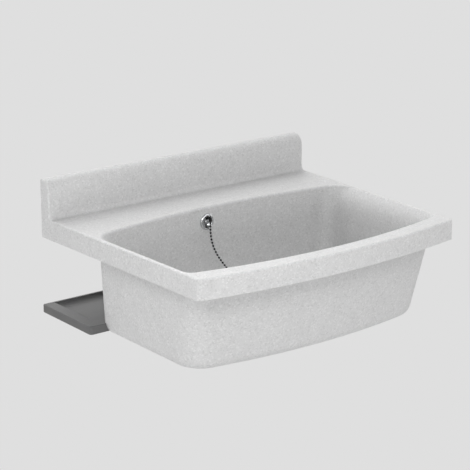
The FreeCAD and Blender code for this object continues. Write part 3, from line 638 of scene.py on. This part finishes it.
# %% Chrome plate
chrome, place = new_finish("chrome_plated_brass")
buff = add(chrome, "TexNoise", {"Vector": place, "Scale": per_mm(5), "Detail": 2.0})
haze = add(chrome, "MapRange", {"Value": buff.outputs["Fac"], "To Min": 0.06, "To Max": 0.14})
wave = add(chrome, "Bump", {"Height": buff.outputs["Fac"], "Strength": 0.1, "Distance": 0.0004})
sheen = add(chrome, "ValToRGB", {"Fac": buff.outputs["Fac"]})
sheen.color_ramp.elements[0].position, sheen.color_ramp.elements[0].color = 0.35, linear("C2C4C6")
sheen.color_ramp.elements[1].position, sheen.color_ramp.elements[1].color = 0.65, linear("CBCCCD")
surface = add(chrome, "BsdfPrincipled", {
    "Base Color": sheen.outputs["Color"], "Metallic": 1.0, "Roughness": haze.outputs["Result"],
    "Normal": wave.outputs["Normal"],
})
add(chrome, "OutputMaterial", {"Surface": surface.outputs["BSDF"]})
dress(chrome, rosette, rosette_screw, cap, "plug_ring_bolt")

# %% [markdown]
# Stainless steel
#
# The waste's flange is pressed from stainless sheet and turned bright in a lathe, like the
# screw in its middle, so fine rings run round the drain. The ring number is the distance
# from the drain's axis divided by the spacing of the rings. Real tool marks are a few tenths
# of a millimetre apart, and they are drawn at 1.2 so that they show. The wave texture turns
# by 20 radians in each unit of length, so one ring is 2 pi / 20 units wide.

# %% Stainless steel
steel, place = new_finish("turned_stainless_steel")
drain_y = -0.282
ring_spacing, ring_units = 1.2, 2 * pi / 20
about_drain = add(steel, "Mapping", {"Vector": place, "Location": (0, -drain_y, 0)})
rings = add(steel, "TexWave", {
    "Vector": about_drain.outputs["Vector"], "Scale": ring_units * per_mm(ring_spacing), "Distortion": 1.5,
}, wave_type="RINGS", rings_direction="Z")
brushed = add(steel, "MapRange", {"Value": rings.outputs["Fac"], "To Min": 0.2, "To Max": 0.34})
lines = add(steel, "Bump", {"Height": rings.outputs["Fac"], "Strength": 0.12, "Distance": 0.0002})
band = add(steel, "ValToRGB", {"Fac": rings.outputs["Fac"]})
band.color_ramp.elements[0].color = linear("C4C4C2")
band.color_ramp.elements[1].color = linear("D2D2D0")
surface = add(steel, "BsdfPrincipled", {
    "Base Color": band.outputs["Color"], "Metallic": 1.0, "Roughness": brushed.outputs["Result"],
    "Normal": lines.outputs["Normal"],
})
add(steel, "OutputMaterial", {"Surface": surface.outputs["BSDF"]})
dress(steel, "waste_flange", "waste_screw")

# %% [markdown]
# Zinc plate
#
# The hanger bolts with their washers and nuts, the console screws, and the washer and nut of
# the plug are steel with a thin zinc plate, passivated to a bluish grey with cloudy lighter
# and yellower patches, and less bright than chrome. The crystals of the plate are too fine
# for the eye, and they are drawn at 0.8 millimetres so that they break up the gloss.

# %% Zinc plate
zinc, place = new_finish("zinc_plated_steel")
cloudy = add(zinc, "TexNoise", {"Vector": place, "Scale": per_mm(9), "Detail": 4.0})
passivation = add(zinc, "ValToRGB", {"Fac": cloudy.outputs["Fac"]})
passivation.color_ramp.elements[0].position, passivation.color_ramp.elements[0].color = 0.32, linear("AEB4BA")
passivation.color_ramp.elements[1].position, passivation.color_ramp.elements[1].color = 0.68, linear("CFCBBE")
dull = add(zinc, "MapRange", {"Value": cloudy.outputs["Fac"], "To Min": 0.3, "To Max": 0.5})
crystal = add(zinc, "TexVoronoi", {"Vector": place, "Scale": per_mm(0.8)})
bumps = add(zinc, "Bump", {"Height": crystal.outputs["Distance"], "Strength": 0.1, "Distance": 0.0002})
surface = add(zinc, "BsdfPrincipled", {
    "Base Color": passivation.outputs["Color"], "Metallic": 1.0, "Roughness": dull.outputs["Result"],
    "Normal": bumps.outputs["Normal"],
})
add(zinc, "OutputMaterial", {"Surface": surface.outputs["BSDF"]})
dress(zinc, bolts, screws, "hanger_washers", "hanger_nuts", "plug_washer", "plug_nut")

# %% [markdown]
# Nylon and white polypropylene
#
# The bushes of the hanger bolts are natural nylon, which is a little yellow and lets some
# light in. The waste's body and the overflow's elbow, pipe and nuts are white polypropylene,
# moulded smooth.

# %% Nylon and white polypropylene
def moulded(name, light, dark, smooth, rough, subsurface):
    """A smooth moulded plastic: slow flow marks change its colour and roughness a little."""
    material, place = new_finish(name)
    flow = add(material, "TexNoise", {"Vector": place, "Scale": per_mm(30), "Detail": 3.0, "Distortion": 0.8})
    tone = add(material, "ValToRGB", {"Fac": flow.outputs["Fac"]})
    tone.color_ramp.elements[0].position, tone.color_ramp.elements[0].color = 0.3, linear(dark)
    tone.color_ramp.elements[1].position, tone.color_ramp.elements[1].color = 0.7, linear(light)
    gloss = add(material, "MapRange", {"Value": flow.outputs["Fac"], "To Min": smooth, "To Max": rough})
    fine = add(material, "TexNoise", {"Vector": place, "Scale": per_mm(1.2), "Detail": 2.0})
    skin = add(material, "Bump", {"Height": fine.outputs["Fac"], "Strength": 0.05, "Distance": 0.0003})
    surface = add(material, "BsdfPrincipled", {
        "Base Color": tone.outputs["Color"], "Roughness": gloss.outputs["Result"], "IOR": 1.5,
        "Subsurface Weight": subsurface, "Subsurface Scale": 0.002, "Normal": skin.outputs["Normal"],
    })
    add(material, "OutputMaterial", {"Surface": surface.outputs["BSDF"]})
    return material


nylon = moulded("natural_nylon", "EFEADB", "E3DCC8", smooth=0.38, rough=0.5, subsurface=0.2)
polypropylene = moulded("white_polypropylene", "EDEDEA", "E4E4E1", smooth=0.3, rough=0.42, subsurface=0.08)
dress(nylon, "hanger_bushes")
dress(polypropylene, "overflow_elbow", "overflow_pipe", "overflow_nuts", "waste_body")

# %% [markdown]
# Rubber and blackened metal
#
# Plug, gaskets and seals are carbon-black rubber, matt with a fine bloom, and its grain is
# drawn at 0.9 millimetres so that it shows. The chain and its couplings are brass with a
# black oxide, which keeps a dull metallic gleam.

# %% Black rubber
rubber, place = new_finish("black_rubber")
bloom = add(rubber, "TexNoise", {"Vector": place, "Scale": per_mm(6), "Detail": 5.0})
tone = add(rubber, "ValToRGB", {"Fac": bloom.outputs["Fac"]})
tone.color_ramp.elements[0].position, tone.color_ramp.elements[0].color = 0.3, linear("1C1C1C")
tone.color_ramp.elements[1].position, tone.color_ramp.elements[1].color = 0.75, linear("2C2C2C")
dull = add(rubber, "MapRange", {"Value": bloom.outputs["Fac"], "To Min": 0.6, "To Max": 0.8})
crumb = add(rubber, "TexNoise", {"Vector": place, "Scale": per_mm(0.9), "Detail": 2.0})
skin = add(rubber, "Bump", {"Height": crumb.outputs["Fac"], "Strength": 0.15, "Distance": 0.0003})
surface = add(rubber, "BsdfPrincipled", {
    "Base Color": tone.outputs["Color"], "Roughness": dull.outputs["Result"], "IOR": 1.52,
    "Normal": skin.outputs["Normal"],
})
add(rubber, "OutputMaterial", {"Surface": surface.outputs["BSDF"]})
dress(rubber, "plug_rubber", "overflow_gasket", "overflow_seals", "waste_top_gasket", "waste_bottom_gasket")

# %% Blackened metal
black_metal, place = new_finish("black_oxide_brass")
rub = add(black_metal, "TexNoise", {"Vector": place, "Scale": per_mm(3), "Detail": 3.0})
tone = add(black_metal, "ValToRGB", {"Fac": rub.outputs["Fac"]})
tone.color_ramp.elements[0].position, tone.color_ramp.elements[0].color = 0.35, linear("1A1A1B")
tone.color_ramp.elements[1].position, tone.color_ramp.elements[1].color = 0.75, linear("303031")
dull = add(black_metal, "MapRange", {"Value": rub.outputs["Fac"], "To Min": 0.3, "To Max": 0.5})
surface = add(black_metal, "BsdfPrincipled", {
    "Base Color": tone.outputs["Color"], "Metallic": 0.7, "Roughness": dull.outputs["Result"],
})
add(black_metal, "OutputMaterial", {"Surface": surface.outputs["BSDF"]})
dress(black_metal, chain, "chain_coupling_upper", "chain_coupling_lower")

# %% [markdown]
# Floor and light
#
# The sink hangs at working height over a plain pale floor that runs far behind it, so the
# floor is the whole background. Where the camera, a mirror or clear plastic looks at it,
# the floor shows one even grey, and for all other light it is a pale diffuse paint. The
# world over the horizon shows the same grey, and for all other light it is a faint sky. A
# sun from behind and one from the right light the deck. Two soft boxes stand high in front,
# close enough for the rim's overhang to shade the top of the basin, and three low ones
# fill that shade.

# %% Floor
floor_height, floor_reach = -0.9, 60.0
floor_corners = np.array([(-1, -1, 0), (1, -1, 0), (1, 1, 0), (-1, 1, 0)])
floor_points = floor_reach * floor_corners + (0, 0, floor_height)
floor_mesh = bpy.data.meshes.new("floor")
floor_mesh.from_pydata(floor_points, [], [(0, 1, 2, 3)])
floor = bpy.data.objects.new("floor", floor_mesh)
scene.collection.objects.link(floor)
print("floor at", floor_height)

# %% Paint of the floor
backdrop_grey = linear("DFDFDF")


def looked_at(material):
    """A socket that is 1 for rays from the camera, a mirror or clear plastic, and else 0."""
    ray = add(material, "LightPath").outputs
    mirrored = add(material, "Math", {
        0: ray["Is Glossy Ray"], 1: ray["Is Transmission Ray"],
    }, operation="MAXIMUM")
    seen = add(material, "Math", {
        0: ray["Is Camera Ray"], 1: mirrored.outputs["Value"],
    }, operation="MAXIMUM")
    return seen.outputs["Value"]


floor_paint, place = new_finish("pale_floor_paint")
roller = add(floor_paint, "TexNoise", {"Vector": place, "Scale": per_mm(400), "Detail": 2.0})
tone = add(floor_paint, "ValToRGB", {"Fac": roller.outputs["Fac"]})
tone.color_ramp.elements[0].color = linear("DEDEDE")
tone.color_ramp.elements[1].color = linear("E0E0E0")
paint = add(floor_paint, "BsdfDiffuse", {"Color": tone.outputs["Color"]})
backdrop = add(floor_paint, "Emission", {"Color": backdrop_grey, "Strength": 1.0})
surface = add(floor_paint, "MixShader", {
    0: looked_at(floor_paint), 1: paint.outputs["BSDF"], 2: backdrop.outputs["Emission"],
})
add(floor_paint, "OutputMaterial", {"Surface": surface.outputs["Shader"]})
dress(floor_paint, floor)

# %% World
world = bpy.data.worlds.new("studio")
scene.world = world
world.use_nodes = True
world.node_tree.nodes.clear()
sky = add(world, "Background", {"Color": linear("FFFFFF"), "Strength": 0.04})
backdrop = add(world, "Background", {"Color": backdrop_grey, "Strength": 1.0})
studio = add(world, "MixShader", {
    0: looked_at(world), 1: sky.outputs["Background"], 2: backdrop.outputs["Background"],
})
add(world, "OutputWorld", {"Surface": studio.outputs["Shader"]})
print("world:", len(world.node_tree.nodes), "nodes")

# %% Lamps
sun_spread = radians(70)
lamp_aim = Vector((0, -0.3, -0.05))


def hang_lamp(name, lamp, direction):
    """Link a lamp and turn it so that it shines from a direction towards the sink."""
    holder = bpy.data.objects.new(name, lamp)
    holder.rotation_euler = Vector(direction).to_track_quat("Z", "Y").to_euler()
    scene.collection.objects.link(holder)
    return holder


# Name, direction and strength in watts per square metre
suns = (("back_sun", (0, 0.7, 0.7), 2.2), ("right_sun", (0.7, 0, 0.7), 1))
for name, direction, strength in suns:
    lamp = bpy.data.lights.new(name, "SUN")
    lamp.energy = strength
    lamp.angle = sun_spread
    hang_lamp(name, lamp, direction)

# Name, place, width and height, and power in watts
soft_boxes = (
    ("corner_box", (-0.9, -1.1, 0.8), (0.8, 0.5), 6.8),
    ("front_box", (0, -1.3, 0.8), (0.8, 0.5), 2.9),
    ("low_left_box", (-2.4, -0.2, 0.1), (2.2, 0.7), 14.5),
    ("low_front_box", (0.2, -2.5, 0.1), (2.2, 0.7), 12.5),
    ("low_corner_box", (-1.6, -1.8, -0.6), (2.2, 0.7), 4),
)
for name, spot, size, strength in soft_boxes:
    lamp = bpy.data.lights.new(name, "AREA")
    lamp.energy = strength
    lamp.shape = "RECTANGLE"
    lamp.size, lamp.size_y = size
    hang_lamp(name, lamp, Vector(spot) - lamp_aim).location = spot
print("lamps:", len(bpy.data.lights))

# %% [markdown]
# Hand over
#
# The view transform stays Standard, so colours leave as they are written.

# %% Finish
scene.view_settings.view_transform = "Standard"
